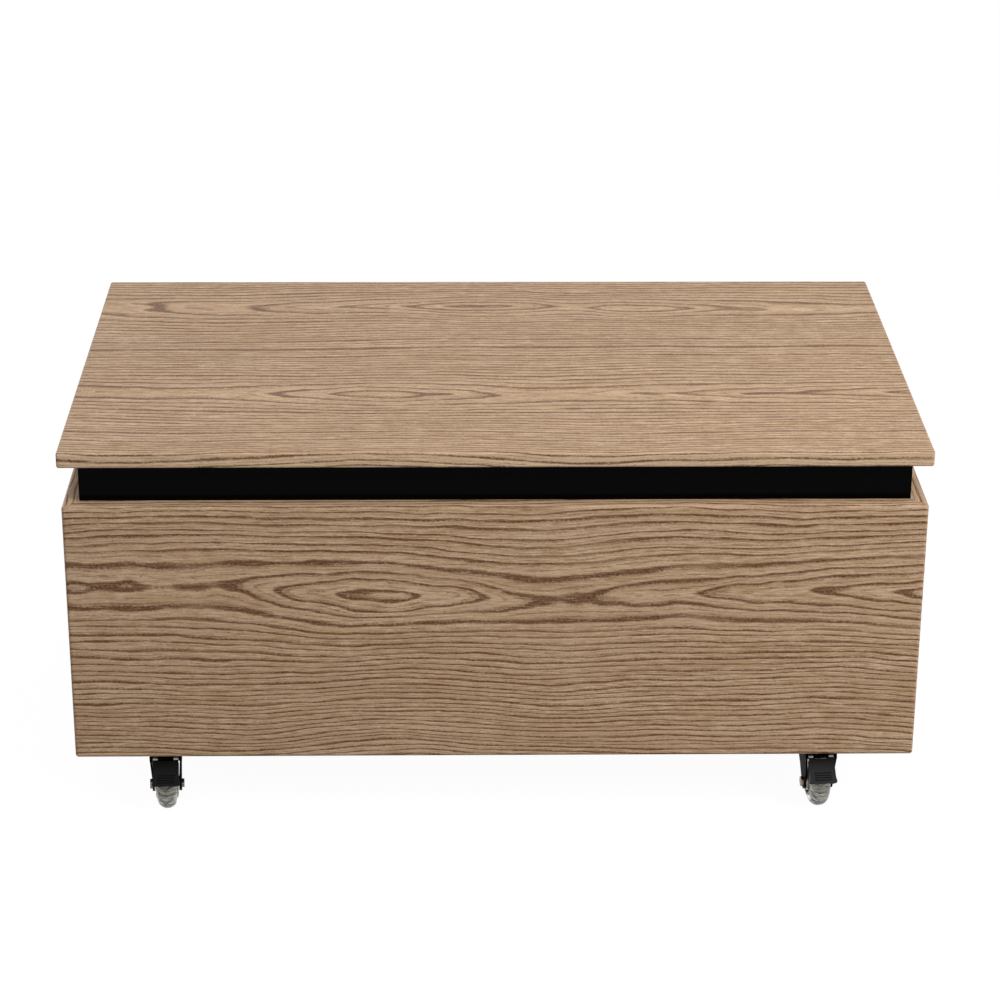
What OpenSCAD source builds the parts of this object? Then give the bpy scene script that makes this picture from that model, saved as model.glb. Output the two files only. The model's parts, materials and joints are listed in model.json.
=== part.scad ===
// Lift top coffee table on four casters.
// A mitred, foil-wrapped box stands on swivel casters. A black collar is
// nested in the box and stands proud of its rim, and the table top closes on
// the collar. Two spring-assisted parallelogram linkages carry the top up and
// forward over the storage box.
// +X is the table's right, -Y its front, +Z up. The origin is on the floor
// under the middle of the table top.

/* [Table top] */
// Width of the table top
top_w = 1000; // [800:10:1200]
// Depth of the table top, front to back
top_d = 600; // [570:5:700]
// Thickness of the table top and of the box walls
board_t = 19; // [16:0.5:25]
// Radius of the eased edges of the table top
top_edge_r = 3; // [1:0.5:6]

/* [Box] */
// How far the table top stands past the box on every side
overhang = 2.5; // [0:0.5:20]
// Height of the box walls
body_h = 323.5; // [260:0.5:400]
// Radius of the eased outer edges of the box
body_edge_r = 4; // [1:0.5:6]
// Thickness of the bottom board
bottom_t = 15; // [15:1:18]
// Side of the square corner posts
post_w = 25; // [20:1:32]

/* [Collar] */
// Height of the black band that shows between the box and the table top
neck_h = 48.5; // [40:0.5:60]
// Thickness of the collar boards
collar_t = 15; // [15:1:18]
// How far the collar reaches down inside the box
collar_lap = 60; // [58:1:90]
// Diameter of the rubber bumpers on the collar
bumper_d = 10; // [6:0.5:12]
// Height of the rubber bumpers
bumper_t = 1.5; // [0.8:0.1:3]

/* [Lift linkage] */
// Distance between the two pivots of an arm
arm_len = 260; // [220:5:265]
// Width of an arm
arm_w = 25; // [22:0.5:28]
// Thickness of an arm
arm_t = 4; // [3:0.5:5]
// Distance between the front and the rear arm
pivot_gap = 110; // [100:1:112]
// Angle of the arms above the horizontal with the top closed
closed_angle = 7; // [6:0.5:9]
// Angle of the arms with the top open, past the vertical
open_angle = 130; // [110:1:132]
// Depth of the upper pivots under the table top
pivot_drop = 20; // [19:0.5:24]
// Place of the front lower pivots, from the middle of the table
front_pivot_y = -160; // [-165:1:-158]
// Radius of the pivot pins
pin_r = 5; // [4:0.1:6]
// Thickness of the steel plates of the linkage
plate_t = 2.5; // [2:0.1:3]
// Outside diameter of the cross tube
tube_d = 16; // [12:0.5:20]
// Wall of the cross tube
tube_wall = 1.5; // [1:0.1:2.5]
// Outside diameter of the lift springs
spring_d = 12; // [9:0.5:13]
// Distance from the rear pivot to the spring's stud on the rear arm
spring_crank = 34; // [33:0.5:36]

/* [Casters] */
// Height of a caster, from the floor to the top of its plate
caster_h = 85; // [84:0.5:90]
// Diameter of a wheel
wheel_d = 60; // [54:1:61]
// Width of a wheel's tread
wheel_w = 24.5; // [20:0.5:25.5]
// Distance from the swivel axis back to the axle
trail = 24; // [22:0.5:26]
// Distance from a side wall's outer face in to a swivel axis
caster_side_inset = 105.5; // [70:0.5:150]
// Distance from the front or back wall's outer face in to a swivel axis
caster_end_inset = 61.5; // [56:0.5:80]
// How far the four casters sit off the table's middle, to its right
caster_shift = -3.5; // [-8:0.5:8]
// Side of the square mounting plate
mount_plate_w = 60; // [58:1:66]
// Turn of the front left caster from straight ahead
turn_front_left = 3; // [-20:0.5:20]
// Turn of the front right caster from straight ahead
turn_front_right = 5; // [-20:0.5:20]

/* [Hidden] */
$fn = 64;

// Colours
oak = "#b39a7c";
gloss_black = "#0d0d0f";
black_steel = "#1b1b1d";
zinc = "#b9b9b4";
clear_grey = "#a9a7a2";
cap_black = "#232325";
pine = "#c9ab7d";
rubber_black = "#1a1a1a";

// Fits
cut = 1;                  // how far a cutting shape runs past the face that it cuts
run_gap = 0.05;           // radial clearance of a pin that turns in its bore
side_gap = 0.5;           // space between the layers of the linkage
seat_gap = 0.3;           // space between a moving piece and its stop or head

// Heights
base_z = caster_h;
rim_z = base_z + body_h;
top_z = rim_z + neck_h;
floor_z = base_z + bottom_t;
collar_z = rim_z - collar_lap;
collar_top_z = top_z - bumper_t;

// Plan sizes of the box and the collar
body_w = top_w - 2 * overhang;
body_d = top_d - 2 * overhang;
in_w = body_w - 2 * board_t;
in_d = body_d - 2 * board_t;
wall_x = in_w / 2 - collar_t;
wall_y = in_d / 2 - collar_t;

// Wood screws
screw_r = 2;
screw_head_r = 4;
screw_head_h = 2.4;
collar_screw_bite = 13;   // how far a collar screw goes into the box wall
post_screw_bite = 12;     // how far a post screw goes into the box wall
post_screw_z = [40, 170]; // heights of the post screws above the bottom board
post_screw_step = 14;     // the screws of the other wall sit this much higher
bottom_screw_len = 35;
plate_screw_bite = 11;    // how far the screws of plates and brackets go into a board
plate_screw_head_r = 4.5;

// Layers of the linkage, measured inwards from the collar's inner face
rear_arm_x = plate_t + side_gap;
upper_plate_x = rear_arm_x + arm_t + side_gap;
front_arm_x = upper_plate_x + plate_t + side_gap;
linkage_x = front_arm_x + arm_t;
pin_head_r = pin_r + 3;
pin_head_t = 2.5;
spring_x = rear_arm_x + arm_t + side_gap + spring_d / 2;

// Pivots
swing = open_angle - closed_angle;
reach_y = arm_len * cos(closed_angle);
reach_z = arm_len * sin(closed_angle);
upper_z = top_z - pivot_drop;
lower_z = upper_z - reach_z;
rear_pivot_y = front_pivot_y + pivot_gap;
front_upper_y = front_pivot_y + reach_y;
rear_upper_y = rear_pivot_y + reach_y;

// Spring: its crank points down evenly between the closed and the open pose
crank_angle = -90 - swing / 2;
crank_y = rear_pivot_y + spring_crank * cos(crank_angle);
crank_z = lower_z + spring_crank * sin(crank_angle);
spring_reach = 230;       // from the crank's stud to the anchor, top closed
anchor_y = crank_y + spring_reach;
stud_r = 3;
spring_wire_r = 1;
stud_head = 1.5;          // height and rim of the head on each spring stud
spring_eye_r = stud_r + seat_gap + spring_wire_r;
spring_start = stud_r + stud_head + 0.4;   // from a stud to the first close turn

// Stop for the open pose, on the leading side of the front arm
stop_r = 4;
stop_along = 40;
stop_side = arm_w / 2 + stop_r + seat_gap;
stop_y = front_pivot_y + stop_along * cos(open_angle) + stop_side * cos(open_angle + 90);
stop_z = lower_z + stop_along * sin(open_angle) + stop_side * sin(open_angle + 90);

// Lower bracket
bracket_lead = 12;
bracket_tail = 25;
bracket_step = 55;        // from the rear pin to the foot of the step in the outline
bracket_top = 25;
bracket_front = stop_y - stop_r - bracket_lead;
bracket_rear = anchor_y + bracket_tail;
bracket_low = collar_z + 5;
bracket_high = stop_z + stop_r + 5;
bracket_shoulder = lower_z - 5; // top of the bracket's narrower rear end
bracket_flange = 18;
lower_screw_inset = 10;
lower_screw_rise = 14;
lower_screw_drop = 22;
lower_screw_mid = 30;
lower_screw_spots = [
    [bracket_front + lower_screw_inset, bracket_low + lower_screw_rise],
    [bracket_front + lower_screw_inset, bracket_high - lower_screw_drop],
    [rear_pivot_y + lower_screw_mid, bracket_low + lower_screw_rise],
    [bracket_rear - lower_screw_inset, bracket_low + lower_screw_rise]
];

// Upper bracket
upper_lead = 178;         // from the front pin to the plate's front tip
upper_tail = 26;
upper_drop = 12;
upper_tip = 10;
upper_slope_end = 30;
upper_front = front_upper_y - upper_lead;
upper_rear = rear_upper_y + upper_tail;
upper_low = upper_z - upper_drop;
upper_screw_margin = 20;
upper_flange = 27;
upper_screw_inset = 16;   // from the face of the upper plate to its screws
upper_screw_count = 4;

// Bumpers
bumper_inset = 30;

// Casters: [x side, y side, turn]
CORNERS = ["front_left", "front_right", "rear_left", "rear_right"];
SPOTS = [
    [-1, -1, turn_front_left], [1, -1, turn_front_right], [-1, 1, 180], [1, 1, 180]
];
mount_plate_t = 2.5;
mount_plate_hole = mount_plate_w / 2 - 8;
race_out_r = 20;
race_in_r = 9;
race_r = 15;
ball_r = 2;
ball_n = 14;
race_z = caster_h - mount_plate_t - 3;      // underside of the fixed race
crown_z = race_z - 2 * ball_r + 1.6;        // top of the fork's crown
ball_z = (race_z + crown_z) / 2;
fork_t = 2.3;
crown_half = 19.35;       // half width of the fork at its crown
cheek_half = 17.45;       // half width of the fork at the axle
cheek_bend = 32;          // below the crown, where the cheeks turn upright
boss_r = 9;               // round end of a cheek about the axle
fork_back = 25;           // the bent section runs from here, behind the kingpin,
fork_deep = 80;           // to beyond the wheel's far edge
brow_gap = 2.5;           // from the tread up to the web that closes a braked fork
ear_r = 6;                // round ear about the pedal's pin, and its arc
ear_from = 60;
ear_to = 215;
axle_r = 4;
axle_head_r = 6;
axle_head_t = 3;
kingpin_r = 5;
kingpin_head_r = 8;
wheel_r = wheel_d / 2;
tread_r = wheel_w / 2;
bearing_r = 9;
bearing_half = cheek_half - fork_t - seat_gap;
hub_r = wheel_r - tread_r - 0.5;
hub_half = tread_r + 0.8;

// Brake pedal, in a frame at its pin: u runs down the slope, n is its normal
pedal_slope = 45;
pedal_pin_y = trail + 11;
pedal_pin_z = wheel_r + 39.2;
pedal_pin_r = 2;
pedal_ear_r = 3.4;
pedal_ear_in = 9.5;
pedal_ear_out = 15.2;
lever_half = 13.9;
lever_cheek_t = 1.2;
lever_cheek_deep = 12;
lever_cheek_start = 9;
lever_under = -1.2;
lever_t = 1.5;
lever_end = 32;
cap_half = 15.5;
cap_start = 3.7;
cap_end = 34.8;
cap_out = 2.8;
cap_corner = 2.2;         // rounding of the cap's outline
cap_flare = 1.1;          // how far its lower corners spread past its sides
cap_flare_len = 8;
cap_skirt_t = 1.5;
cap_skirt_low = -3;
groove_n = 4;
groove_pitch = 2.9;
groove_w = 1.2;
groove_deep = 1.1;
groove_half = 10.3;
groove_first = 21.6;

// ---- Shared shapes ----

// Box with all its edges rounded, centred in plan, with its base at z = 0
module eased_block(w, d, h, r) {
    translate([0, 0, h / 2]) hull() {
        cube([w - 2 * r, d - 2 * r, h], center = true);
        cube([w, d - 2 * r, h - 2 * r], center = true);
        cube([w - 2 * r, d, h - 2 * r], center = true);
        for (x = [-1, 1], y = [-1, 1], z = [-1, 1])
            translate([x * (w / 2 - r), y * (d / 2 - r), z * (h / 2 - r)])
                sphere(r, $fn = 32);
    }
}

// Cylinder along +X from x0 to x1
module rod_x(x0, x1, r) {
    translate([x0, 0, 0]) rotate([0, 90, 0]) cylinder(h = x1 - x0, r = r);
}

// Slab along +X with a (y, z) outline
module slab_x(x0, x1) {
    translate([x0, 0, 0]) rotate([90, 0, 90]) linear_extrude(x1 - x0) children();
}

// Countersunk screw along +Z: its head is flush at z = 0 and its tip at z = len
module flat_screw(len, r = screw_r) {
    cylinder(h = len, r = r);
    cylinder(h = screw_head_h, r1 = screw_head_r, r2 = r);
}

// Pan head screw along +Z: its head hangs below z = 0
module pan_screw(len, r = screw_r) {
    cylinder(h = len, r = r);
    difference() {
        translate([0, 0, -screw_head_h]) cylinder(h = screw_head_h, r = plate_screw_head_r);
        translate([0, 0, -screw_head_h - cut / 2]) {
            cube([5, 0.9, cut + 1.4], center = true);
            cube([0.9, 5, cut + 1.4], center = true);
        }
    }
}

// Places children in the linkage's frame: x = 0 is the collar's inner face
// and +X points inwards, on the left (-1) or right (1) side
module on_side(side) {
    if (side < 0) translate([-wall_x, 0, 0]) children();
    else mirror([1, 0, 0]) translate([-wall_x, 0, 0]) children();
}

// ---- Table top ----

// Spots of the upper brackets' screws along y
function upper_screw_y(i) = upper_front + upper_screw_margin
    + i * (upper_rear - upper_front - 2 * upper_screw_margin) / (upper_screw_count - 1);

module at_upper_screws() {
    for (side = [-1, 1]) on_side(side) for (i = [0 : upper_screw_count - 1])
        translate([upper_plate_x + upper_screw_inset, upper_screw_y(i), top_z - plate_t])
            children();
}

module top_panel() {
    color(oak) difference() {
        translate([0, 0, top_z]) eased_block(top_w, top_d, board_t, top_edge_r);
        at_upper_screws() pan_screw(plate_t + plate_screw_bite);
    }
}

module upper_bracket(side) {
    color(black_steel) on_side(side) difference() {
        union() {
            slab_x(upper_plate_x, upper_plate_x + plate_t) polygon([
                [upper_front, top_z], [upper_front, top_z - upper_tip],
                [front_upper_y - upper_slope_end, upper_low],
                [upper_rear, upper_low], [upper_rear, top_z]
            ]);
            translate([upper_plate_x, upper_front, top_z - plate_t])
                cube([upper_flange, upper_rear - upper_front, plate_t]);
        }
        for (y = [front_upper_y, rear_upper_y])
            translate([0, y, upper_z]) rod_x(upper_plate_x - cut, upper_plate_x + plate_t + cut, pin_r);
        for (i = [0 : upper_screw_count - 1])
            translate([upper_plate_x + upper_screw_inset, upper_screw_y(i), top_z - plate_t - cut])
                cylinder(h = plate_t + 2 * cut, r = screw_r);
    }
}

// The front pin is flush with the outer face of its plate, so that the rear
// arm can pass. The rear pin has a head on both sides.
module upper_pins() {
    color(zinc) for (side = [-1, 1]) on_side(side) {
        translate([0, front_upper_y, upper_z]) {
            rod_x(upper_plate_x, linkage_x + seat_gap, pin_r);
            rod_x(linkage_x + seat_gap, linkage_x + seat_gap + pin_head_t, pin_head_r);
        }
        translate([0, rear_upper_y, upper_z]) {
            rod_x(rear_arm_x - seat_gap, upper_plate_x + plate_t, pin_r);
            rod_x(seat_gap, rear_arm_x - seat_gap, pin_head_r);
            rod_x(upper_plate_x + plate_t, upper_plate_x + plate_t + pin_head_t, pin_head_r);
        }
    }
}

module upper_bracket_screws() {
    color(zinc) at_upper_screws() pan_screw(plate_t + plate_screw_bite);
}

// ---- Box ----

// Mitred wall: 0 front, 1 back, 2 left, 3 right
module wall(which) {
    out_x = body_w / 2 + cut;
    out_y = body_d / 2 + cut;
    mid_x = in_w / 2 - cut;
    mid_y = in_d / 2 - cut;
    outline = which < 2
        ? [[-out_x, -out_y], [out_x, -out_y], [mid_x, -mid_y], [-mid_x, -mid_y]]
        : [[-out_x, -out_y], [-mid_x, -mid_y], [-mid_x, mid_y], [-out_x, out_y]];
    intersection() {
        difference() {
            translate([0, 0, base_z]) eased_block(body_w, body_d, body_h, body_edge_r);
            translate([-in_w / 2, -in_d / 2, base_z - cut]) cube([in_w, in_d, body_h + 2 * cut]);
        }
        translate([0, 0, base_z - cut])
            mirror([which == 3 ? 1 : 0, which == 1 ? 1 : 0, 0])
                linear_extrude(body_h + 2 * cut) polygon(outline);
    }
}

module drilled_wall(which) {
    color(oak) difference() {
        wall(which);
        collar_screw_set();
        post_screw_set();
    }
}

module front_panel() { drilled_wall(0); }
module back_panel() { drilled_wall(1); }
module side_panel_left() { drilled_wall(2); }
module side_panel_right() { drilled_wall(3); }

module bottom_panel() {
    color(oak) difference() {
        translate([-in_w / 2, -in_d / 2, base_z]) cube([in_w, in_d, bottom_t]);
        bottom_screw_set();
        caster_screw_set();
    }
}

module corner_posts() {
    color(pine) difference() {
        for (x = [-1, 1], y = [-1, 1])
            translate([x > 0 ? in_w / 2 - post_w : -in_w / 2,
                       y > 0 ? in_d / 2 - post_w : -in_d / 2, floor_z])
                cube([post_w, post_w, collar_z - floor_z]);
        post_screw_set();
        bottom_screw_set();
    }
}

// Two screws from each post into each of its two walls
module post_screw_set() {
    len = post_w + post_screw_bite;
    for (x = [-1, 1], y = [-1, 1], z = post_screw_z) {
        translate([x * (in_w / 2 - post_w), y * (in_d / 2 - post_w / 2), floor_z + z])
            rotate([0, x * 90, 0]) flat_screw(len);
        translate([x * (in_w / 2 - post_w / 2), y * (in_d / 2 - post_w), floor_z + z + post_screw_step])
            rotate([-y * 90, 0, 0]) flat_screw(len);
    }
}

// One screw up through the bottom board into each post
module bottom_screw_set() {
    for (x = [-1, 1], y = [-1, 1])
        translate([x * (in_w - post_w) / 2, y * (in_d - post_w) / 2, base_z])
            flat_screw(bottom_screw_len);
}

module post_screws() {
    color(zinc) {
        post_screw_set();
        bottom_screw_set();
    }
}

// ---- Collar ----

collar_screw_z = collar_z + 30;
collar_screw_x = [-0.75, -0.25, 0.25, 0.75]; // shares of the half width
collar_side_screw_y = wall_y - 28;

module collar_screw_set() {
    len = collar_t + collar_screw_bite;
    for (y = [-1, 1], x = collar_screw_x)
        translate([x * wall_x, y * wall_y, collar_screw_z]) rotate([-y * 90, 0, 0]) flat_screw(len);
    for (x = [-1, 1], y = [-1, 1])
        translate([x * wall_x, y * collar_side_screw_y, collar_screw_z])
            rotate([0, x * 90, 0]) flat_screw(len);
}

module collar_long(side) {
    color(gloss_black) difference() {
        translate([-in_w / 2, side < 0 ? -in_d / 2 : wall_y, collar_z])
            cube([in_w, collar_t, collar_top_z - collar_z]);
        collar_screw_set();
    }
}

module collar_short(side) {
    color(gloss_black) difference() {
        translate([side < 0 ? -in_w / 2 : wall_x, -wall_y, collar_z])
            cube([collar_t, 2 * wall_y, collar_top_z - collar_z]);
        collar_screw_set();
        on_side(side) lower_screw_set();
    }
}

module collar_front() { collar_long(-1); }
module collar_back() { collar_long(1); }
module collar_left() { collar_short(-1); }
module collar_right() { collar_short(1); }

module collar_screws() {
    color(zinc) collar_screw_set();
}

module bumpers() {
    color(rubber_black) for (x = [-1, 1], y = [-1, 1])
        translate([x * (wall_x - bumper_inset), y * (wall_y + collar_t / 2), collar_top_z])
            cylinder(h = bumper_t, d = bumper_d);
}

// ---- Lift linkage ----

module lower_screw_set() {
    for (s = lower_screw_spots)
        translate([plate_t, s[0], s[1]]) rotate([0, -90, 0])
            flat_screw(plate_t + plate_screw_bite);
}

module lower_bracket(side) {
    color(black_steel) on_side(side) difference() {
        union() {
            slab_x(0, plate_t) polygon([
                [bracket_front, bracket_low], [bracket_rear, bracket_low],
                [bracket_rear, bracket_shoulder], [rear_pivot_y + bracket_step, bracket_shoulder],
                [rear_pivot_y + bracket_top, bracket_high], [bracket_front, bracket_high]
            ]);
            translate([0, bracket_front, bracket_low])
                cube([bracket_flange, bracket_rear - bracket_front, plate_t]);
        }
        for (y = [front_pivot_y, rear_pivot_y])
            translate([0, y, lower_z]) rod_x(-cut, plate_t + cut, pin_r);
        translate([0, anchor_y, crank_z]) rod_x(-cut, plate_t + cut, stud_r);
        translate([0, stop_y, stop_z]) rod_x(-cut, plate_t + cut, stop_r);
        lower_screw_set();
    }
}

// Pivots, spring anchor and stop, riveted into each lower bracket
module lower_pins() {
    head_x = linkage_x + seat_gap;
    color(zinc) for (side = [-1, 1]) on_side(side) {
        translate([0, front_pivot_y, lower_z]) {
            rod_x(0, head_x, pin_r);
            rod_x(plate_t, front_arm_x - seat_gap, pin_head_r);
            rod_x(head_x, head_x + pin_head_t, pin_head_r);
        }
        translate([0, rear_pivot_y, lower_z]) {
            rod_x(0, upper_plate_x - side_gap + seat_gap, pin_r);
            rod_x(upper_plate_x - side_gap + seat_gap, upper_plate_x + pin_head_t - seat_gap, pin_head_r);
        }
        translate([0, anchor_y, crank_z]) {
            rod_x(0, spring_x + 4, stud_r);
            rod_x(spring_x + 4, spring_x + 4 + stud_head, stud_r + stud_head);
        }
        translate([0, stop_y, stop_z]) {
            rod_x(0, linkage_x, stop_r);
        }
    }
}

module lower_bracket_screws() {
    color(zinc) for (side = [-1, 1]) on_side(side) lower_screw_set();
}

// Straight bar from one pivot to the other, in the arm's own frame
module arm_bar() {
    translate([0, -arm_w / 2]) square([arm_len, arm_w]);
    circle(d = arm_w);
    translate([arm_len, 0]) circle(d = arm_w);
}

module arm_bores() {
    circle(r = pin_r + run_gap);
    translate([arm_len, 0]) circle(r = pin_r + run_gap);
}

module front_arm(side) {
    color(black_steel) on_side(side)
        translate([0, front_pivot_y, lower_z]) slab_x(front_arm_x, linkage_x)
            rotate(closed_angle) difference() {
                arm_bar();
                arm_bores();
            }
}

// The rear arm carries a short crank, whose stud holds the spring
module rear_arm(side) {
    crank_w = 18;
    color(black_steel) on_side(side) translate([0, rear_pivot_y, lower_z]) {
        slab_x(rear_arm_x, rear_arm_x + arm_t) difference() {
            union() {
                rotate(closed_angle) arm_bar();
                rotate(crank_angle) {
                    translate([0, -crank_w / 2]) square([spring_crank, crank_w]);
                    translate([spring_crank, 0]) circle(d = crank_w);
                }
            }
            rotate(closed_angle) arm_bores();
        }
        translate([0, crank_y - rear_pivot_y, crank_z - lower_z]) {
            rod_x(rear_arm_x + arm_t, spring_x + 4, stud_r);
            rod_x(spring_x + 4, spring_x + 4 + stud_head, stud_r + stud_head);
        }
    }
}

module cross_tube() {
    color(black_steel) translate([0, front_pivot_y + reach_y / 2, lower_z + reach_z / 2]) {
        half = wall_x - linkage_x;
        difference() {
            rod_x(-half, half, tube_d / 2);
            rod_x(-half - cut, half + cut, tube_d / 2 - tube_wall);
        }
    }
}

// Closed body of the tension spring, with an eye about each stud
module spring(side) {
    color(zinc) on_side(side) translate([spring_x, 0, crank_z]) {
        translate([0, crank_y + spring_start, 0]) rotate([-90, 0, 0])
            cylinder(h = spring_reach - 2 * spring_start, d = spring_d - 0.6);
        for (y = [crank_y, anchor_y]) translate([0, y, 0]) rotate([0, 90, 0])
            rotate_extrude() translate([spring_eye_r, 0]) circle(r = spring_wire_r, $fn = 24);
    }
}

// ---- Casters ----

// The mounting plates stay square to the table, whatever way the fork points
module at_mount(i) {
    translate([SPOTS[i][0] * (body_w / 2 - caster_side_inset) + caster_shift,
               SPOTS[i][1] * (body_d / 2 - caster_end_inset), 0])
        children();
}

module at_caster(i) {
    at_mount(i) rotate(SPOTS[i][2]) children();
}

module race_groove(z) {
    translate([0, 0, z]) rotate_extrude() translate([race_r, 0])
        circle(r = ball_r + run_gap, $fn = 32);
}

module caster_plates() {
    color(black_steel) for (i = [0 : 3]) at_mount(i) difference() {
        union() {
            translate([0, 0, caster_h - mount_plate_t / 2])
                cube([mount_plate_w, mount_plate_w, mount_plate_t], center = true);
            translate([0, 0, race_z]) cylinder(h = caster_h - mount_plate_t - race_z, r = race_out_r);
        }
        translate([0, 0, race_z - cut]) cylinder(h = caster_h, r = kingpin_r);
        race_groove(ball_z);
        for (x = [-1, 1], y = [-1, 1])
            translate([x * mount_plate_hole, y * mount_plate_hole, caster_h - mount_plate_t - cut])
                cylinder(h = mount_plate_t + 2 * cut, r = screw_r);
    }
}

module kingpins() {
    head_z = crown_z - fork_t - seat_gap;
    color(zinc) for (i = [0 : 3]) at_mount(i) {
        translate([0, 0, head_z]) cylinder(h = caster_h - head_z, r = kingpin_r);
        translate([0, 0, head_z - 2.5]) cylinder(h = 2.5, r = kingpin_head_r);
    }
}

module swivel_balls() {
    color(zinc) for (i = [0 : 3]) at_mount(i) for (k = [0 : ball_n - 1])
        rotate(k * 360 / ball_n) translate([race_r, 0, ball_z]) sphere(r = ball_r, $fn = 24);
}

module caster_screw_set() {
    for (i = [0 : 3], x = [-1, 1], y = [-1, 1]) at_mount(i)
        translate([x * mount_plate_hole, y * mount_plate_hole, caster_h - mount_plate_t])
            pan_screw(mount_plate_t + plate_screw_bite);
}

module caster_screws() {
    color(zinc) caster_screw_set();
}

function arc(cy, cz, r, a0, a1, n = 12) =
    [for (k = [0 : n]) [cy + r * cos(a0 + (a1 - a0) * k / n), cz + r * sin(a0 + (a1 - a0) * k / n)]];

// Side outline of a cheek. The braked fork has an ear for the pedal's pin.
module cheek_outline(braked) {
    back = [[16, crown_z - 9], [19, crown_z - 3], [19, crown_z + cut]];
    ear = braked
        ? concat([[-pedal_pin_y + 8, crown_z + cut], [-pedal_pin_y + 8, crown_z]],
                 arc(-pedal_pin_y, pedal_pin_z, ear_r, ear_from, ear_to))
        : [[-trail - 2, crown_z + cut], [-trail - 2, crown_z - 2], [-trail - 6, crown_z - 9]];
    polygon(concat(back, ear, arc(-trail, wheel_r, boss_r, 180, 360)));
}

// Bent section of the fork: flat crown, cheeks that close in on the wheel
module fork_section() {
    low = wheel_r - boss_r - cut;
    function bend(half, top, drop) = [
        [-half[0], top], [half[0], top], [half[1], top - drop], [half[1], low], [-half[1], low],
        [-half[1], top - drop]
    ];
    difference() {
        polygon(bend([crown_half, cheek_half], crown_z, cheek_bend));
        translate([0, -cut]) polygon(bend([crown_half - fork_t, cheek_half - fork_t],
                                          crown_z - fork_t + cut, cheek_bend - fork_t));
    }
}

// Web across the front of a braked fork's crown, behind the pedal's pin
module fork_brow() {
    low_z = 2 * wheel_r + brow_gap;
    top_half = crown_half - fork_t / 2;
    low_half = top_half - (crown_half - cheek_half) * (crown_z - low_z) / cheek_bend;
    translate([0, 9 - pedal_pin_y, 0]) rotate([90, 0, 0]) linear_extrude(fork_t) polygon([
        [-top_half, crown_z - fork_t / 2], [top_half, crown_z - fork_t / 2],
        [low_half, low_z], [-low_half, low_z]
    ]);
}

module fork(i) {
    braked = i < 2;
    color(black_steel) at_caster(i) difference() {
        union() {
            intersection() {
                translate([0, fork_back, 0]) rotate([90, 0, 0]) linear_extrude(fork_deep) fork_section();
                slab_x(-crown_half - cut, crown_half + cut) cheek_outline(braked);
            }
            if (braked) fork_brow();
        }
        translate([0, 0, crown_z - fork_t - cut]) cylinder(h = fork_t + 2 * cut, r = kingpin_r + run_gap);
        race_groove(ball_z);
        translate([0, -trail, wheel_r]) rod_x(-crown_half - cut, crown_half + cut, axle_r);
        if (braked) translate([0, -pedal_pin_y, pedal_pin_z])
            rod_x(-crown_half - cut, crown_half + cut, pedal_pin_r);
    }
}

// Bolt with a round head on one side and a hex nut on the other
module axle(i) {
    color(zinc) at_caster(i) translate([0, -trail, wheel_r]) {
        rod_x(-cheek_half, cheek_half + axle_head_t, axle_r);
        rod_x(-cheek_half - axle_head_t, -cheek_half, axle_head_r);
        difference() {
            rotate([0, 90, 0]) translate([0, 0, cheek_half])
                cylinder(h = axle_head_t, r = axle_head_r, $fn = 6);
            rod_x(cheek_half - cut, cheek_half + axle_head_t + cut, axle_r);
        }
    }
}

module tyre(i) {
    color(clear_grey, 0.5) at_caster(i) translate([0, -trail, wheel_r]) rotate([0, 90, 0])
        rotate_extrude($fn = 96) difference() {
            translate([wheel_r - tread_r, 0]) circle(r = tread_r);
            translate([0, -tread_r - cut]) square([hub_r, 2 * (tread_r + cut)]);
        }
}

module hub(i) {
    lip = 2.2;
    color(clear_grey, 0.6) at_caster(i) translate([0, -trail, wheel_r]) rotate([0, 90, 0])
        rotate_extrude($fn = 96) difference() {
            translate([bearing_r, -hub_half]) square([hub_r - bearing_r, 2 * hub_half]);
            for (s = [-1, 1]) translate([bearing_r + lip, s * hub_half - 4])
                square([hub_r - bearing_r - 2 * lip, 8]);
        }
}

module bearing(i) {
    color(zinc) at_caster(i) translate([0, -trail, wheel_r]) difference() {
        rod_x(-bearing_half, bearing_half, bearing_r);
        rod_x(-bearing_half - cut, bearing_half + cut, axle_r + run_gap);
    }
}

// ---- Brake pedals, on the front casters ----

// Pedal frame: +X across, +Y up the slope's normal, +Z down the slope
module at_pedal(i) {
    at_caster(i) translate([0, -pedal_pin_y, pedal_pin_z])
        rotate([90 + pedal_slope, 0, 0]) children();
}

module pedal_lever(i) {
    color(zinc) at_pedal(i) difference() {
        union() {
            translate([-lever_half, lever_under, 0]) cube([2 * lever_half, lever_t, lever_end]);
            for (s = [-1, 1]) {
                x0 = s < 0 ? -pedal_ear_out : pedal_ear_in;
                rod_x(x0, x0 + pedal_ear_out - pedal_ear_in, pedal_ear_r);
                translate([s < 0 ? -lever_half : lever_half - lever_cheek_t,
                           -lever_cheek_deep, lever_cheek_start])
                    cube([lever_cheek_t, lever_cheek_deep + lever_under + lever_t / 2,
                          lever_end - lever_cheek_start - 2]);
            }
        }
        rod_x(-pedal_ear_out - cut, pedal_ear_out + cut, pedal_pin_r + run_gap);
        translate([-pedal_ear_in, -pedal_ear_r, -pedal_ear_r])
            cube([2 * pedal_ear_in, 2 * pedal_ear_r, pedal_ear_r + pedal_ear_r + 0.2]);
    }
}

// Rounded plate with its lower corners spread, across and down the slope
module cap_outline() {
    side = concat(arc(cap_half - cap_corner, cap_start + cap_corner, cap_corner, 270, 360),
                  [[cap_half, cap_end - cap_flare_len]],
                  arc(cap_half + cap_flare - cap_corner, cap_end - cap_corner, cap_corner, 0, 90));
    polygon(concat(side, [for (k = [len(side) - 1 : -1 : 0]) [-side[k][0], side[k][1]]]));
}

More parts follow.
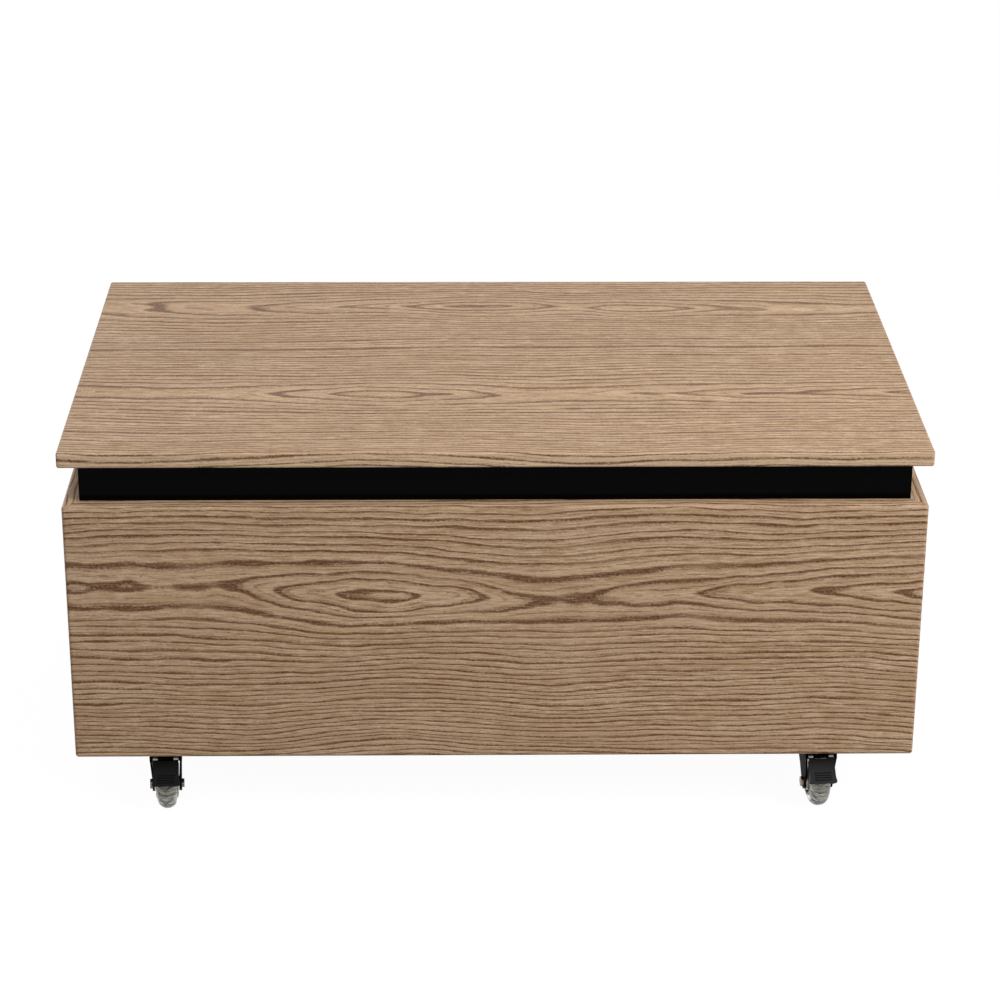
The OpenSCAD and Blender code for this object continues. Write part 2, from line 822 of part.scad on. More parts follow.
module pedal_cap(i) {
    flat = lever_under + lever_t;
    color(cap_black) at_pedal(i) difference() {
        union() {
            translate([0, cap_out, 0]) rotate([90, 0, 0]) linear_extrude(cap_out - flat) cap_outline();
            for (s = [-1, 1])
                translate([s < 0 ? -cap_half : cap_half - cap_skirt_t, cap_skirt_low, cap_start + 2])
                    cube([cap_skirt_t, flat - cap_skirt_low, cap_end - cap_start - 4]);
            translate([-cap_half, lever_under, lever_end])
                cube([2 * cap_half, flat - lever_under, cap_end - lever_end - cap_corner / 2]);
        }
        for (k = [0 : groove_n - 1])
            translate([-groove_half, cap_out - groove_deep, groove_first + k * groove_pitch])
                cube([2 * groove_half, groove_deep + cut, groove_w]);
    }
}

module pedal_pin(i) {
    color(black_steel) at_caster(i) translate([0, -pedal_pin_y, pedal_pin_z])
        rod_x(-crown_half, crown_half, pedal_pin_r);
}

// ---- Nodes ----

top_panel();
upper_bracket(-1);  // upper_bracket_left
upper_bracket(1);  // upper_bracket_right
upper_pins();
upper_bracket_screws();
front_panel();
back_panel();
side_panel_left();
side_panel_right();
bottom_panel();
collar_front();
collar_back();
collar_left();
collar_right();
corner_posts();
bumpers();
collar_screws();
post_screws();
lower_bracket(-1);  // lower_bracket_left
lower_bracket(1);  // lower_bracket_right
lower_pins();
lower_bracket_screws();
spring(-1);  // spring_left
spring(1);  // spring_right
front_arm(-1);  // front_arm_left
front_arm(1);  // front_arm_right
cross_tube();
rear_arm(-1);  // rear_arm_left
rear_arm(1);  // rear_arm_right
caster_plates();
kingpins();
swivel_balls();
caster_screws();
for (i = [0 : 3]) {
    fork(i);
    axle(i);
    tyre(i);
    hub(i);
    bearing(i);
}
for (i = [0 : 1]) {
    hand = ["left", "right"][i];
    pedal_lever(i);
    pedal_cap(i);
    pedal_pin(i);
}
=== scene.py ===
"""Lift top coffee table on casters: a box and a top wrapped in oak foil, a black
gloss collar between them, a spring-assisted lift linkage and four casters."""
import json
import math
import bpy
import numpy as np
from mathutils import Matrix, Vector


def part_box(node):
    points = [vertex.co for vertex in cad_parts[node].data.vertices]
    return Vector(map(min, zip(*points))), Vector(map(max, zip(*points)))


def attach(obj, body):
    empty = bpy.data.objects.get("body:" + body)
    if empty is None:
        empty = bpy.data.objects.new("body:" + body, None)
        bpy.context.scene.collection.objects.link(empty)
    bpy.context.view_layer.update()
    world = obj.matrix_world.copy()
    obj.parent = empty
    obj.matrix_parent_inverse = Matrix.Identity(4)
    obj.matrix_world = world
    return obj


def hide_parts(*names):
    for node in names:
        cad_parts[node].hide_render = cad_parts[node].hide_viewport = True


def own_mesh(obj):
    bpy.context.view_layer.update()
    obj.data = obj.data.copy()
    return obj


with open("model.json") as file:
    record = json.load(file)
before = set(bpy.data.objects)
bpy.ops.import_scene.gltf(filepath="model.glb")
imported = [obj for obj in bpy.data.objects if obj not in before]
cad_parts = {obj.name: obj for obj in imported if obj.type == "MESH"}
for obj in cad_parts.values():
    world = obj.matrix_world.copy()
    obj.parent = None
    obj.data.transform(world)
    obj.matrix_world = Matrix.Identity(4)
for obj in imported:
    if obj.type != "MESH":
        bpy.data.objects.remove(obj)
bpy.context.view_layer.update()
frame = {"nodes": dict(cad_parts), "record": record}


# ---- Studio ----
# A white sweep and three soft lamps. The key hangs over the right front, so the
# boards brighten a little from left to right. The front lamp fills the face of
# the box, and a low one behind it on the left fills the sides turned away.

class Value:
    """A socket of a finish, with arithmetic that adds Math nodes to its tree."""

    def __init__(self, finish, socket):
        self.finish, self.socket = finish, socket

    def do(self, operation, *more):
        """Any Math node whose first value is this one."""
        return self.finish.maths(operation, self, *more)

    def __add__(self, other): return self.do("ADD", other)
    def __radd__(self, other): return self.finish.maths("ADD", other, self)
    def __sub__(self, other): return self.do("SUBTRACT", other)
    def __rsub__(self, other): return self.finish.maths("SUBTRACT", other, self)
    def __mul__(self, other): return self.do("MULTIPLY", other)
    def __rmul__(self, other): return self.finish.maths("MULTIPLY", other, self)
    def __truediv__(self, other): return self.do("DIVIDE", other)
    def __rtruediv__(self, other): return self.finish.maths("DIVIDE", other, self)
    def __pow__(self, other): return self.do("POWER", other)


class Finish:
    """A procedural material of one principled surface, and the nodes that vary it."""

    def __init__(self, name, **surface):
        self.material = bpy.data.materials.new(name)
        self.material.use_nodes = True
        self.tree = self.material.node_tree
        self.surface = self.tree.nodes["Principled BSDF"]
        self.set(**surface)
        self.place = self.node("ShaderNodeTexCoord", output="Object")

    def set(self, **sockets):
        """Sets the surface's sockets. A key names its socket, with _ for a space."""
        for key, value in sockets.items():
            socket = self.surface.inputs[key.replace("_", " ")]
            if isinstance(value, Value):
                self.tree.links.new(value.socket, socket)
            else:
                socket.default_value = (*value, 1.0) if isinstance(value, tuple) else value

    def node(self, kind, settings=None, inputs=None, output=0):
        """Adds any node: its settings or curve points first, then its sockets."""
        made = self.tree.nodes.new(kind)
        for key, value in (settings or {}).items():
            if key == "points":
                curve = made.mapping.curves[0]
                curve.points[0].location, curve.points[-1].location = value[0], value[-1]
                for x, y in value[1:-1]:
                    curve.points.new(x, y)
                made.mapping.update()
            else:
                setattr(made, key, value)
        for key, value in (inputs or {}).items():
            if isinstance(value, Value):
                self.tree.links.new(value.socket, made.inputs[key])
            else:
                made.inputs[key].default_value = value
        return Value(self, made.outputs[output])

    def maths(self, operation, *values):
        """One Math node."""
        return self.node("ShaderNodeMath", {"operation": operation}, dict(enumerate(values)))

    def axes(self):
        """Object coordinates as three values, in millimetres."""
        split = self.tree.nodes.new("ShaderNodeSeparateXYZ")
        self.tree.links.new(self.place.socket, split.inputs[0])
        return [Value(self, split.outputs[i]) * 1000.0 for i in range(3)]

    def noise(self, x, y, z=0.0, detail=2.0, rough=0.5):
        """Noise from 0 to 1 at the point (x, y, z)."""
        at = self.node("ShaderNodeCombineXYZ", inputs={0: x, 1: y, 2: z})
        return self.node("ShaderNodeTexNoise", inputs={
            "Vector": at, "Scale": 1.0, "Detail": detail, "Roughness": rough})

    def spread(self, scale, detail=3.0):
        """Noise from 0 to 1 over the object, scale cycles to the metre."""
        return self.node("ShaderNodeTexNoise", inputs={
            "Vector": self.place, "Scale": scale, "Detail": detail, "Roughness": 0.55})

    def ramp(self, value, low, high, to_low=0.0, to_high=1.0):
        """Smooth step of a value from low to high, onto another range."""
        return self.node("ShaderNodeMapRange", {"interpolation_type": "SMOOTHSTEP"}, {
            "Value": value, "From Min": low, "From Max": high, "To Min": to_low, "To Max": to_high})

    def mix(self, share, first, second):
        """Mixes two colours by a share from 0 to 1."""
        fit = lambda c: (*c, 1.0) if isinstance(c, tuple) else c
        return self.node("ShaderNodeMix", {"data_type": "RGBA"},
                         {0: share, 6: fit(first), 7: fit(second)}, output=2)

    def bump(self, height, depth, strength):
        """Bump from a height of 0 to 1, depth metres deep."""
        self.set(Normal=self.node("ShaderNodeBump", inputs={
            "Strength": strength, "Distance": depth, "Height": height}))


def dress(finish, *nodes):
    """Gives a finish to CAD nodes or to new pieces."""
    for node in nodes:
        thing = frame["nodes"][node] if isinstance(node, str) else node
        for slot in thing.material_slots:
            slot.material = finish.material
        if not thing.material_slots:
            thing.data.materials.append(finish.material)


def lamp(name, size, power, place, aim):
    """A square soft lamp at a place, turned to aim at a point."""
    data = bpy.data.lights.new(name, "AREA")
    data.size, data.energy = size, power
    made = bpy.data.objects.new(name, data)
    bpy.context.collection.objects.link(made)
    away = np.subtract(place, aim).astype(float)
    away /= np.linalg.norm(away)
    side = np.cross((0.0, 0.0, 1.0), away)
    side /= np.linalg.norm(side)
    turn = Matrix(np.column_stack([side, np.cross(away, side), away]).tolist())
    made.matrix_world = Matrix.Translation(place) @ turn.to_4x4()


def background_rays(tree):
    """A socket that is 1 for the rays that look at the background, from the camera
    or by way of gloss or glass, and 0 for those that light the table."""
    path = tree.nodes.new("ShaderNodeLightPath")
    found = path.outputs["Is Camera Ray"]
    for kind in ("Is Glossy Ray", "Is Transmission Ray"):
        either = tree.nodes.new("ShaderNodeMath")
        either.operation = "MAXIMUM"
        tree.links.new(found, either.inputs[0])
        tree.links.new(path.outputs[kind], either.inputs[1])
        found = either.outputs[0]
    return found


lamp("key", 2.0, 83.0, (2.5, -1.9, 2.5), (0.0, 0.0, 0.3))
lamp("front", 2.4, 19.0, (0.2, -3.6, 2.5), (0.0, 0.0, 0.3))
lamp("back", 1.6, 22.0, (-2.4, 2.4, 0.9), (0.0, 0.0, 0.25))

# The sky looks white and lights the table at less than half of that.
world = bpy.data.worlds.new("studio")
bpy.context.scene.world = world
world.use_nodes = True
sky = world.node_tree
level = sky.nodes.new("ShaderNodeMapRange")
sky.links.new(background_rays(sky), level.inputs["Value"])
level.inputs["To Min"].default_value = 0.40
level.inputs["To Max"].default_value = 1.0
sky.links.new(level.outputs[0], sky.nodes["Background"].inputs["Strength"])
sky.nodes["Background"].inputs["Color"].default_value = (1.0, 1.0, 1.0, 1.0)

# The floor looks white as well, with the table's own soft shadow on it, and
# throws little light back up.
far = 30.0
mesh = bpy.data.meshes.new("floor")
mesh.from_pydata([(-far, -far, 0), (far, -far, 0), (far, far, 0), (-far, far, 0)], [], [(0, 1, 2, 3)])
floor = bpy.data.objects.new("floor", mesh)
bpy.context.collection.objects.link(floor)
sheet = Finish("floor", Base_Color=(0.09, 0.09, 0.09), Roughness=1.0, Specular_IOR_Level=0.0)
white = sheet.tree.nodes.new("ShaderNodeEmission")
white.inputs["Strength"].default_value = 0.96
lit = sheet.tree.nodes.new("ShaderNodeAddShader")
glow = sheet.tree.nodes.new("ShaderNodeMixShader")
for start, end in (
        (sheet.surface.outputs[0], lit.inputs[0]), (white.outputs[0], lit.inputs[1]),
        (background_rays(sheet.tree), glow.inputs[0]), (sheet.surface.outputs[0], glow.inputs[1]),
        (lit.outputs[0], glow.inputs[2]),
        (glow.outputs[0], sheet.tree.nodes["Material Output"].inputs["Surface"])):
    sheet.tree.links.new(start, end)
dress(sheet, floor)

# The camera stands 3.4 m off, 1.7 m up, and looks down and a little to the right.
yaw, pitch, roll = 0.0198, 0.4039, 0.0053
right = np.array([math.cos(yaw), -math.sin(yaw), 0.0])
ahead = np.array([math.sin(yaw) * math.cos(pitch), math.cos(yaw) * math.cos(pitch), -math.sin(pitch)])
up = np.cross(right, ahead)
across = right * math.cos(roll) + up * math.sin(roll)
upright = up * math.cos(roll) - right * math.sin(roll)
eye = bpy.data.objects.new("camera", bpy.data.cameras.new("camera"))
bpy.context.collection.objects.link(eye)
eye.data.sensor_width = 36.0
eye.data.lens = 104.77
eye.data.clip_end = 200.0
eye.matrix_world = Matrix.Translation((-0.0564, -3.3584, 1.7247)) @ Matrix(
    np.column_stack([across, upright, -ahead]).tolist()).to_4x4()
bpy.context.scene.camera = eye
bpy.context.scene.view_settings.view_transform = "Standard"


# ---- Oak foil boards ----
# MDF boards pressed into printed oak foil. The foil runs over every edge, so
# each board's grain continues from its face over its rim. Rings of latewood
# are cut through near their heart, which gives the arches along the middle.

pale_oak = (0.86, 0.625, 0.42)
mid_oak = (0.50, 0.305, 0.165)
dark_oak = (0.115, 0.042, 0.014)
# The colour of the painted highlight over the boards' edges:
highlight_oak = (0.92, 0.67, 0.44)
rosy_oak = (0.68, 0.45, 0.29)


def oak(name, along, over, hearts, seed, widths=(11.0, 5.8, 70.0), wave=1.0, coarse=1.0,
        arris=0.0, beyond=2.0, edge_highlight=0.2, ink=1.0):
    """Oak cut near the heart, which runs along the board at a depth that changes on
    its way. A point at a distance a across from the heart is d = a + depth e^(-a/42)
    from it. Rings are w0 wide at the heart and narrow to w1 over a length L, so the number
    of rings up to d is (d + L ln((w1 + (w0 - w1) e^(-d/L)) / w0)) / w1. Each ring
    ends in a dark line, which closes into an arch where the depth passes it.
    All lengths are in millimetres. Along and over are (x, y, z, shift), hearts are
    (place across, depths along), coarse widens the fibres, and ink is how dark the
    lines print on the face. From the arris to beyond it the foil is painted paler,
    a painted highlight on the edge."""
    wood = Finish(name, IOR=1.45, Specular_IOR_Level=0.28)
    x, y, z = wood.axes()
    u = x * along[0] + y * along[1] + z * along[2] + along[3]
    v = x * over[0] + y * over[1] + z * over[2] + over[3]

    # The heart sways across the board in three waves, each with a length, a
    # breadth, a shift of its noise, a detail and a reach.
    sway = 0.0
    for length, breadth, shift, detail, reach in (
            (470.0, 260.0, 0.0, 1.0, 64.0), (120.0, 40.0, 3.1, 1.0, 8.0), (46.0, 11.0, 5.7, 2.0, 5.0)):
        sway = (wood.noise(u / length, v / breadth, seed + shift, detail) - 0.5) * (reach * wave) + sway

    # Rings are counted out from each heart, and where two hearts' rings meet
    # the smaller count stands.
    wide, narrow, fade = widths
    dying, uneven, blunt = 42.0, 15.0, 5.0
    rings = None
    for heart, points in hearts:
        depth = wood.node("ShaderNodeFloatCurve", {"points": points}, {"Value": u / 1000.0 + 0.5}) * 100.0 \
            + (wood.noise(u / 90.0, v / 60.0, seed + heart, 2.0) - 0.5) * uneven
        off = v - heart + sway
        aside = (off * off + blunt) ** 0.5
        away = aside + depth * (aside * (-1.0 / dying)).do("EXPONENT")
        shrink = (away * (-1.0 / fade)).do("EXPONENT") * (wide - narrow) + narrow
        count = (away + (shrink / wide).do("LOGARITHM", math.e) * fade) / narrow
        rings = count if rings is None else rings.do("SMOOTH_MIN", count, 1.0)

    # Short slanted flecks fray the rings. Each ring has a number, and part runs
    # from 0 to 1 through it.
    ticks = wood.noise(u / 3.4, (v + u * 0.3) / (1.6 * coarse), seed, 2.0, 0.7)
    rings = rings + (ticks - 0.5) * 0.3 + (wood.noise(rings * 0.4, seed, 0.0, 1.0) - 0.5) * 1.6
    number = rings.do("FLOOR")
    part = rings - number

    # The dark line at a ring's end changes in weight and breadth from ring to
    # ring. Fainter ones divide the ring, and pale fibres run through them all.
    weight = wood.ramp(wood.noise(number * 3.7, u / 160.0, seed + 9.0, 1.0), 0.28, 0.50, 0.62, 1.0)
    broad = wood.ramp(wood.noise(number * 5.3, u / 90.0, seed + 19.0, 1.0), 0.45, 0.62)
    line = wood.ramp(part + broad * 0.07, 0.64, 0.82) * wood.ramp(part, 0.92, 1.0, 1.0, 0.0) * weight
    third = (part * 3.0).do("FRACT")
    faint = wood.ramp(third, 0.6, 0.85) * wood.ramp(third, 0.93, 1.0, 1.0, 0.0) \
        * wood.ramp(wood.noise(u / 70.0, v / 6.0, seed + 12.0, 1.0), 0.35, 0.65, 0.12, 0.7)
    fibre = wood.noise(u / 26.0, v / (1.9 * coarse), seed + 2.0, 3.0, 0.8)
    line = line.do("MAXIMUM", faint) * wood.ramp(ticks, 0.28, 0.60, 0.55, 1.0) \
        * wood.ramp(fibre, 0.48, 0.66, 1.0, 0.6)

    # Between the lines lie pale and darker fibres, rosy clouds, open pores and
    # flecks. A broad line darkens the wood before it.
    cloud = wood.noise(u / 200.0, v / 22.0, seed + 7.0, 2.0)
    warm = wood.ramp(wood.noise(u / 260.0, v / 40.0, seed + 17.0, 2.0), 0.35, 0.65)
    pore = wood.ramp(wood.noise(u / 9.0, v / (1.5 * coarse), seed + 4.0, 1.0), 0.58, 0.74)
    base = wood.mix(wood.ramp(fibre * 0.95 + cloud * 0.25 - part * 0.05, 0.44, 0.76), mid_oak, pale_oak)
    base = wood.mix(warm * 0.35, base, rosy_oak)
    base = wood.mix(broad * wood.ramp(part, 0.25, 0.8, 0.0, 0.6), base, mid_oak)
    base = wood.mix(pore * 0.3, base, dark_oak)
    base = wood.mix(wood.ramp(ticks, 0.48, 0.72, 0.0, 0.4), base, mid_oak)

    # Painted highlight: from the arris to beyond it the foil is painted paler. There the lines print at their
    # full darkness.
    edge = wood.ramp(v, arris, beyond)
    base = wood.mix(edge * edge_highlight, base, highlight_oak)
    line = line * (edge * (1.0 - ink) + ink)
    wood.set(Base_Color=wood.mix(line, base, dark_oak), Roughness=0.55 + fibre * 0.12 - line * 0.08)
    wood.bump(fibre * 0.4 - line * 0.8 - pore * 0.5, 0.00018, 0.35)
    return wood


# How deep the heart lies along a board: a place as a share of a metre, and the
# depth there in tenths of a metre. Each dip of it is an eye in the grain.
arches = [(0.0, 0.33), (0.11, 0.36), (0.19, 0.34), (0.25, 0.28), (0.30, 0.21), (0.36, 0.15),
          (0.43, 0.19), (0.50, 0.29), (0.60, 0.35), (0.69, 0.29), (0.78, 0.24), (0.86, 0.19),
          (0.93, 0.12), (1.0, 0.04)]
spear = [(0.0, 0.54), (0.12, 0.46), (0.22, 0.38), (0.32, 0.29), (0.41, 0.17), (0.49, 0.05),
         (0.55, 0.12), (0.60, 0.23), (0.68, 0.08), (0.76, 0.22), (0.86, 0.30), (1.0, 0.36)]
calm = [(0.0, 0.1), (0.2, 0.32), (0.45, 0.22), (0.62, 0.38), (0.8, 0.18), (1.0, 0.3)]

# On the walls the foil folds over the upper edge, so the height and the way in
# from the face add up to one measure across the grain, which is 0 at the edge.
wall_low, wall_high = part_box("front_panel")
half_w, half_d = wall_high[0] * 1000.0, -wall_low[1] * 1000.0
rim = wall_high[2] * 1000.0
walls = {
    "front_panel": ((1, 0, 0, 0), (0, 1, 1, half_d - rim), arches, 0.0),
    "back_panel": ((-1, 0, 0, 0), (0, -1, 1, half_d - rim), spear, 11.0),
    "side_panel_left": ((0, 1, 0, 0), (1, 0, 1, half_w - rim), calm, 23.0),
    "side_panel_right": ((0, 1, 0, 0), (-1, 0, 1, half_w - rim), arches, 31.0),
}
below_rim = 105.0
# Each wall's rim is painted paler at the lesser strength, a painted highlight.
for node, (along, over, points, seed) in walls.items():
    dress(oak(node, along, over, [(-below_rim, points)], seed), node)

# The top has two hearts. Its front edge is at -300 across the grain.
top_low, top_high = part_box("top_panel")
# The top's front edge, from -298 to -301 across the grain, is painted paler more strongly: a painted highlight.
top_oak = oak("top", (1, 0, 0, 0), (0, 1, 1, -top_high[2] * 1000.0), [(195.0, spear), (-110.0, arches)],
              seed=5.0, widths=(12.0, 7.0, 50.0), wave=0.8, coarse=1.6, arris=-298.0, beyond=-301.0,
              edge_highlight=0.4, ink=0.93)
top_oak.set(Specular_IOR_Level=0.42)
dress(top_oak, "top_panel")
dress(oak("bottom", (1, 0, 0, 0), (0, 1, 0, 0), [(0.0, calm)], 41.0), "bottom_panel")


# ---- Collar ----
# Four boards in black gloss lacquer, screwed to the inside of the box walls.
# They stand proud of the rim and carry the closed top on rubber bumpers.

lacquer = Finish("black_lacquer", Base_Color=(0.0012, 0.001, 0.0009), Specular_IOR_Level=0.03)
lacquer.set(Roughness=0.1 + lacquer.spread(9.0) * 0.06)
dress(lacquer, "collar_front", "collar_back", "collar_left", "collar_right")

rubber = Finish("bumper_rubber", Base_Color=(0.012, 0.012, 0.012))
rubber.set(Roughness=0.75 + rubber.spread(900.0) * 0.15)
dress(rubber, "bumpers")


# ---- Corner posts ----
# Planed pine in the four corners. The walls and the bottom are screwed to them.

pine = Finish("pine", IOR=1.45)
x, y, z = pine.axes()
streak = pine.noise(x / 3.2, z / 90.0, y / 3.2, 3.0)
pine.set(Base_Color=pine.mix(pine.ramp(streak, 0.35, 0.65), (0.62, 0.44, 0.24), (0.5, 0.32, 0.16)),
         Roughness=0.6 + streak * 0.15)
dress(pine, "corner_posts")


# ---- Steel of the linkage and the casters ----
# Brackets, arms and tube are pressed steel in black powder coat, and the forks
# in a duller one. Pins, board screws and balls are zinc plated, the casters'
# screws and brake levers have gone dull, and the axles have tarnished brown.

corners = ("front_left", "front_right", "rear_left", "rear_right")


def coated(name, colour, grain, rough, cloud, vary, **surface):
    """Powder coat that dries to a fine orange peel: grain is its bumps to the metre,
    cloud and vary are the scale and the amount by which its roughness drifts."""
    coat = Finish(name, Base_Color=colour, **surface)
    coat.set(Roughness=rough + coat.spread(cloud) * vary)
    coat.bump(coat.spread(grain, 1.0), 0.00004, 0.4)
    return coat


def plated(name, scale, low, high, dark, light, rough, vary):
    """Bare metal, clouded between a dark and a light tone."""
    metal = Finish(name, Metallic=1.0)
    haze = metal.spread(scale)
    metal.set(Base_Color=metal.mix(metal.ramp(haze, low, high), dark, light), Roughness=rough + haze * vary)
    return metal


coat = coated("powder_coat", (0.012, 0.012, 0.013), 1400.0, 0.34, 40.0, 0.12)
dress(coat, "upper_bracket_left", "upper_bracket_right", "lower_bracket_left", "lower_bracket_right",
      "front_arm_left", "front_arm_right", "cross_tube", "rear_arm_left", "rear_arm_right")
matt = coated("caster_coat", (0.003, 0.003, 0.0033), 1100.0, 0.5, 60.0, 0.15, Specular_IOR_Level=0.03)
dress(matt, "caster_plates", "pedal_pin_left", "pedal_pin_right", *[f"fork_{c}" for c in corners])

zinc = plated("zinc_plate", 220.0, 0.3, 0.7, (0.44, 0.43, 0.41), (0.62, 0.60, 0.56), 0.26, 0.16)
dress(zinc, *[part["node"] for part in frame["record"]["subparts"] if part["material_slot"] == "zinc"])
dull = plated("dull_zinc", 260.0, 0.3, 0.7, (0.20, 0.17, 0.14), (0.40, 0.36, 0.31), 0.34, 0.16)
dress(dull, "caster_screws", "pedal_lever_left", "pedal_lever_right")
brown = plated("axle_steel", 380.0, 0.25, 0.75, (0.10, 0.07, 0.05), (0.32, 0.235, 0.16), 0.24, 0.2)
dress(brown, *[f"axle_{c}" for c in corners])


# ---- Lift springs ----
# Tension springs of bright wire. Each hangs between the stud on its rear arm
# and an anchor on its lower bracket, with a loop about either, and it is drawn
# out while the top is closed.

def grid_faces(rows, columns):
    """Quads between the rows of a grid whose columns close into rings."""
    at = np.arange(rows * columns).reshape(rows, columns)
    a, b = at[:-1], at[1:]
    return np.stack([a, np.roll(a, -1, 1), np.roll(b, -1, 1), b], -1).reshape(-1, 4)


def piece_of(name, points, faces):
    """A smooth mesh object from an array of points and an array of faces."""
    made = bpy.data.meshes.new(name)
    made.from_pydata(points.reshape(-1, 3).tolist(), [], [list(f) for f in faces])
    made.polygons.foreach_set("use_smooth", np.full(len(made.polygons), True))
    made.update()
    thing = bpy.data.objects.new(name, made)
    bpy.context.collection.objects.link(thing)
    return thing


def rod(path, guide, radius, sides=8):
    """Round wire: a circle carried along a path. Each ring lies across the
    path's direction, and starts at the part of the guide that is square to it.
    Both ends close in a point."""
    way = np.gradient(path, axis=0)
    way /= np.linalg.norm(way, axis=1, keepdims=True)
    first = guide - (guide * way).sum(1, keepdims=True) * way
    first /= np.linalg.norm(first, axis=1, keepdims=True)
    second = np.cross(way, first)
    turn = np.linspace(0.0, 2 * np.pi, sides, endpoint=False)[None, :, None]
    fat = np.full((len(path), 1, 1), radius)
    fat[0] = fat[-1] = radius * 0.02
    rings = path[:, None] + fat * (np.cos(turn) * first[:, None] + np.sin(turn) * second[:, None])
    faces = [list(f) for f in grid_faces(len(path), sides)]
    last = (len(path) - 1) * sides
    faces += [list(range(sides))[::-1], [last + i for i in range(sides)]]
    return rings, faces


# Radii of the wire, the loops and the coil. A loop is long: it bears on the far
# side of its pin, behind it, and reaches before it to the coil.
wire, loop, coil, turns = 0.0009, 0.0043, 0.0048, 74
pin_inset, behind, before = 0.0053, 0.00425, 0.0080
loop_angle, loop_points, turn_points = 4.4, 34, 15
for hand in ("left", "right"):
    low, high = map(np.array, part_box(f"spring_{hand}"))
    axis_x, axis_z = (low[0] + high[0]) / 2, (low[2] + high[2]) / 2
    stud, anchor = low[1] + pin_inset, high[1] - pin_inset
    # The path is a loop, a rise of 0.9 turns onto the coil, the coil, and the
    # same again the other way.
    hook = np.linspace(-loop_angle, 0.0, loop_points)
    flat = np.zeros(loop_points)
    near = np.stack([flat, stud + (before - behind) / 2 + (before + behind) / 2 * np.cos(hook),
                     loop * np.sin(hook)], 1)
    spin = np.linspace(0.0, 2 * np.pi * turns, turns * turn_points)
    share = spin / spin[-1]
    grow = np.clip(np.minimum(share, 1 - share) * turns / 0.9, 0.0, 1.0)
    reach = anchor - stud - 2 * before
    body = np.stack([coil * grow * np.sin(spin), stud + before + reach * share, -coil * grow * np.cos(spin)], 1)
    far = near[::-1] * (1, -1, 1) + (0, stud + anchor, 0)
    path = np.concatenate([near, body[1:-1], far]) + (axis_x, 0.0, axis_z)
    lie = np.concatenate([flat, np.clip(grow * 2, 0, 1)[1:-1], flat])[:, None]
    guide = (1 - lie) * (1.0, 0.0, 0.0) + lie * (0.0, 1.0, 0.0)
    points, faces = rod(path, guide, wire)
    spring = piece_of(f"coil_spring_{hand}", points, faces)
    dress(zinc, spring)
    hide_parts(f"spring_{hand}")
    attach(spring, "box")
    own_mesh(spring)


# ---- Weld beads ----
# The cross tube is welded to both front arms all round. Each bead is a row of
# overlapping drops, under the same powder coat.

def weld_bead(centre, way, ring, thick, drops=26, drop_points=6, round_points=10):
    """A bead round a tube. Along the angle t its circle of radius thick swells by
    an eighth with |sin(drops t / 2)|, and leans on the tube's radius ring."""
    t = np.linspace(0.0, 2 * np.pi, drops * drop_points, endpoint=False)[:, None]
    a = np.linspace(0.0, 2 * np.pi, round_points, endpoint=False)[None, :]
    fat = thick * (0.875 + 0.25 * np.abs(np.sin(drops * t / 2)))
    reach = ring + fat * np.cos(a)
    points = np.stack([way * fat * np.sin(a), reach * np.cos(t), reach * np.sin(t)], -1) + centre
    at = np.arange(t.size * a.size).reshape(t.size, a.size)
    beside, after = np.roll(at, -1, 1), np.roll(at, -1, 0)
    faces = np.stack([at, beside, np.roll(beside, -1, 0), after], -1).reshape(-1, 4)
    return points, faces if way > 0 else faces[:, ::-1]


bead_radius = 0.0016
low, high = map(np.array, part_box("cross_tube"))
for hand, way in (("left", -1.0), ("right", 1.0)):
    arm_low, arm_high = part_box(f"front_arm_{hand}")
    face = arm_high[0] if way < 0 else arm_low[0]
    points, faces = weld_bead((face, (low[1] + high[1]) / 2, (low[2] + high[2]) / 2), way,
                              (high[2] - low[2]) / 2, bead_radius)
    bead = piece_of(f"weld_bead_{hand}", points, faces)
    dress(coat, bead)
    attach(bead, "front_arms")


# ---- Wheels ----
# Clear moulded wheels of a warm grey: a tyre with a rounded tread on a cloudier
# hub, which holds a pressed-in steel bearing.

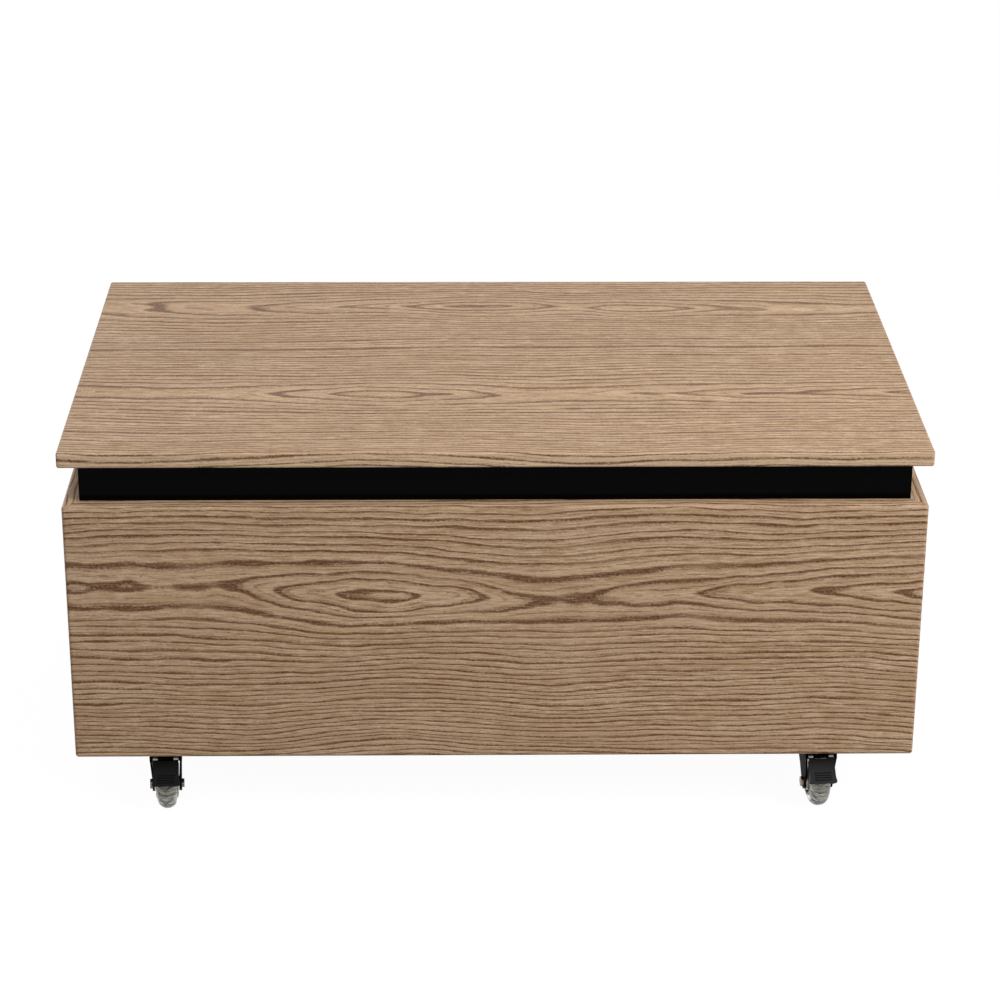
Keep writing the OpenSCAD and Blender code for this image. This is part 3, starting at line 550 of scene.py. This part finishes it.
# Each part's colour, how much light goes through it, and its roughness.
castings = {"tyre": ((0.90, 0.87, 0.80), 0.92, 0.02), "hub": ((0.5, 0.48, 0.43), 0.7, 0.10)}
for corner in corners:
    low, high = map(np.array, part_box(f"tyre_{corner}"))
    mid, half_wide = (low + high) * 500.0, (high - low)[0] * 500.0
    for part, (grey, through, rough) in castings.items():
        clear = Finish(f"clear_{part}_{corner}", IOR=1.47, Transmission_Weight=through,
                       Specular_IOR_Level=0.35)
        x, y, z = clear.axes()
        side, run, rise = x - mid[0], y - mid[1], z - mid[2]
        outwards = side.do("ABSOLUTE")
        # The tread is painted dark with lighter streaks across it, drawn back at its middle:
        # the hub's refracted image and its glints, painted. The seam of the mould runs
        # round it. The wheel's cheeks are plain.
        round_way = rise.do("ARCTAN2", run) * 30.0 + outwards * 0.7
        streak = clear.ramp(clear.noise(round_way / 7.0, side / 60.0, mid[0] * 0.01, 1.0), 0.42, 0.54)
        tread = clear.ramp(outwards, half_wide * 0.55, half_wide * 0.9, 1.0, 0.0)
        seam = clear.ramp(outwards, 0.2, 0.7, 0.3, 0.0)
        shade = tuple(c * 0.16 for c in grey)
        clear.set(Base_Color=clear.mix(seam.do("MAXIMUM", tread * (1.0 - streak)), grey, shade),
                  Roughness=rough + streak * 0.08)
        dress(clear, f"{part}_{corner}")


# ---- Brake pedal caps ----
# Black moulded caps on the brake levers, with a soft grain, four grooves for
# the foot and a lip at the lower end. The right cap's face is painted lighter
# than the left's: painted light.

joints = {j["name"]: j for j in frame["record"]["behaviour"]["joints"]}
# Each cap's face tone; the right one's is painted lighter, as painted light.
for hand, lit_face_tone in (("left", (0.011, 0.011, 0.0116)), ("right", (0.027, 0.027, 0.028))):
    hinge = joints[f"brake_{hand}"]
    pin, (ax, ay) = [c * 1000.0 for c in hinge["pos_m"]], hinge["axis"][:2]
    moulded = Finish(f"moulded_{hand}", Specular_IOR_Level=0.07)
    # Height over the pedal's pin, square to its slope of 45 degrees. The face
    # keeps its tone, mottled a little, and the grooves and the cap's sides below
    # the face are painted black: painted shade.
    x, y, z = moulded.axes()
    height = ((x - pin[0]) * ay - (y - pin[1]) * ax + (z - pin[2])) * math.sqrt(0.5)
    pebble = moulded.spread(1800.0, 2.0)
    unshaded_face = moulded.ramp(height, 2.1, 2.7) * (0.7 + pebble * 0.6)
    moulded.set(Base_Color=moulded.mix(unshaded_face, (0.0008, 0.0008, 0.0009), lit_face_tone),
                Roughness=0.5 + pebble * 0.16)
    moulded.bump(pebble, 0.00006, 0.5)
    dress(moulded, f"pedal_cap_{hand}")
